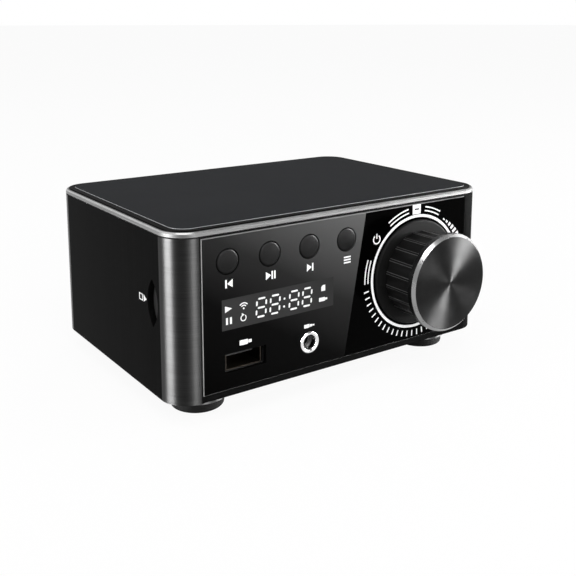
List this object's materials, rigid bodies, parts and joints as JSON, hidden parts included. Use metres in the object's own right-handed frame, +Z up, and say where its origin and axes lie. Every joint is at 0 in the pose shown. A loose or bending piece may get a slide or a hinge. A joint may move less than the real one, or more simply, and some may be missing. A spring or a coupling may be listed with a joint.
{
  "type": "stereo receiver",
  "caption": "Small desktop stereo receiver: rounded black metal case with a bright rim, glossy front with display, push buttons and sockets, and a large fluted volume knob with a spun face.",
  "frame": {"origin": "on the surface it stands on, under the middle of the overall box", "axes": "+X to the right seen from the front, +Y towards the back, +Z up"},
  "size_m": [0.13, 0.1182, 0.062],
  "materials": {
    "anodised_black": "satin black anodised",
    "bright_cut_rim": "machined bright with bevelled edges",
    "lid_black": "gloss",
    "top_grey": "satin",
    "painted_steel": "fine powder coat",
    "nickel_posts": "nickel plated",
    "black_screws": "black oxide",
    "foot_black": "semi gloss",
    "foot_rubber": "matt",
    "frame_black": "moulded",
    "fascia_acrylic": "polished",
    "window_smoke": "smoked",
    "module_black": "moulded",
    "circuit_board": "solder mask",
    "plated_screws": "zinc plated",
    "switch_steel": "stamped",
    "dial_black": "satin",
    "knob_black": "black anodised, fluted",
    "knob_face": "spun, black anodised",
    "shaft_steel": "ground",
    "pot_case": "stamped",
    "brass_plated": "turned",
    "nickel_nut": "nickel plated",
    "socket_steel": "plated",
    "socket_black": "moulded",
    "ring_chrome": "polished",
    "scoop_black": "moulded",
    "connector_white": "moulded",
    "chip_black": "moulded",
    "sink_aluminium": "extruded",
    "capacitor_sleeve": "shrink sleeve on an aluminium can",
    "inductor_grey": "sintered",
    "module_board": "board with a tinned shield",
    "insert_white": "moulded",
    "insert_red": "moulded",
    "button_black": "satin",
    "terminal_black": "moulded",
    "lever_red": "moulded",
    "lever_black": "moulded"
  },
  "bodies": {
    "case": {"amplifier_chip": "chip_black", "aux_jack_body": "socket_black", "aux_ring": "ring_chrome", "bottom_plate": "painted_steel", "card_scoop": "scoop_black", "card_socket": "socket_steel", "case_screws": "black_screws", "case_shell": "anodised_black", "control_board": "circuit_board", "control_board_screws": "plated_screws", "corner_posts": "nickel_posts", "dc_jack": "socket_black", "dc_pin": "socket_steel", "dial_disc": "dial_black", "display_module": "module_black", "display_window": "window_smoke", "filter_capacitors": "capacitor_sleeve", "foot_front_left": "foot_black", "foot_front_right": "foot_black", "foot_pads": "foot_rubber", "foot_rear_left": "foot_black", "foot_rear_right": "foot_black", "foot_screws": "black_screws", "front_fascia": "fascia_acrylic", "front_frame": "frame_black", "heat_sink": "sink_aluminium", "lid": "lid_black", "link_connector": "connector_white", "main_board": "circuit_board", "main_board_screws": "plated_screws", "output_inductors": "inductor_grey", "pot_body": "pot_case", "pot_bushing": "brass_plated", "pot_nut": "nickel_nut", "rca_housing": "socket_black", "rca_insert_left": "insert_white", "rca_insert_right": "insert_red", "rca_sleeves": "ring_chrome", "rear_panel": "painted_steel", "rear_panel_screws": "black_screws", "standoffs": "nickel_posts", "switch_bases": "switch_steel", "terminal_block": "terminal_black", "terminal_hinge_pin": "shaft_steel", "top_bezel": "bright_cut_rim", "top_panel": "top_grey", "usb_shell": "socket_steel", "usb_tongue": "socket_black", "wireless_module": "module_board"},
    "knob": {"knob_body": "knob_black", "knob_cap": "knob_face", "pot_shaft": "shaft_steel"},
    "button_previous": {"button_previous": "button_black"},
    "button_play": {"button_play": "button_black"},
    "button_next": {"button_next": "button_black"},
    "button_mode": {"button_mode": "button_black"},
    "lever_1": {"speaker_lever_1": "lever_black"},
    "lever_2": {"speaker_lever_2": "lever_red"},
    "lever_3": {"speaker_lever_3": "lever_black"},
    "lever_4": {"speaker_lever_4": "lever_red"}
  },
  "joints": [
    {"name": "volume_turn", "type": "hinge", "parent": "case", "child": "knob", "pos_m": [0.03146, -0.04185, 0.0345], "axis": [0, 1, 0], "range_deg": [0, 300]},
    {"name": "previous_press", "type": "slide", "parent": "case", "child": "button_previous", "axis": [0, 1, 0], "range_m": [0, 0.0004], "stiffness_N_per_m": 1500, "springref_m": -0.0004},
    {"name": "play_press", "type": "slide", "parent": "case", "child": "button_play", "axis": [0, 1, 0], "range_m": [0, 0.0004], "stiffness_N_per_m": 1500, "springref_m": -0.0004},
    {"name": "next_press", "type": "slide", "parent": "case", "child": "button_next", "axis": [0, 1, 0], "range_m": [0, 0.0004], "stiffness_N_per_m": 1500, "springref_m": -0.0004},
    {"name": "mode_press", "type": "slide", "parent": "case", "child": "button_mode", "axis": [0, 1, 0], "range_m": [0, 0.0004], "stiffness_N_per_m": 1500, "springref_m": -0.0004},
    {"name": "lever_1_press", "type": "hinge", "parent": "case", "child": "lever_1", "pos_m": [-0.0199, 0.05475, 0.0345], "axis": [1, 0, 0], "range_deg": [0, 15], "stiffness_Nm_per_rad": 0.03, "springref_deg": -8.59},
    {"name": "lever_2_press", "type": "hinge", "parent": "case", "child": "lever_2", "pos_m": [-0.0083, 0.05475, 0.0345], "axis": [1, 0, 0], "range_deg": [0, 15], "stiffness_Nm_per_rad": 0.03, "springref_deg": -8.59},
    {"name": "lever_3_press", "type": "hinge", "parent": "case", "child": "lever_3", "pos_m": [0.0033, 0.05475, 0.0345], "axis": [1, 0, 0], "range_deg": [0, 15], "stiffness_Nm_per_rad": 0.03, "springref_deg": -8.59},
    {"name": "lever_4_press", "type": "hinge", "parent": "case", "child": "lever_4", "pos_m": [0.0149, 0.05475, 0.0345], "axis": [1, 0, 0], "range_deg": [0, 15], "stiffness_Nm_per_rad": 0.03, "springref_deg": -8.59}
  ]
}
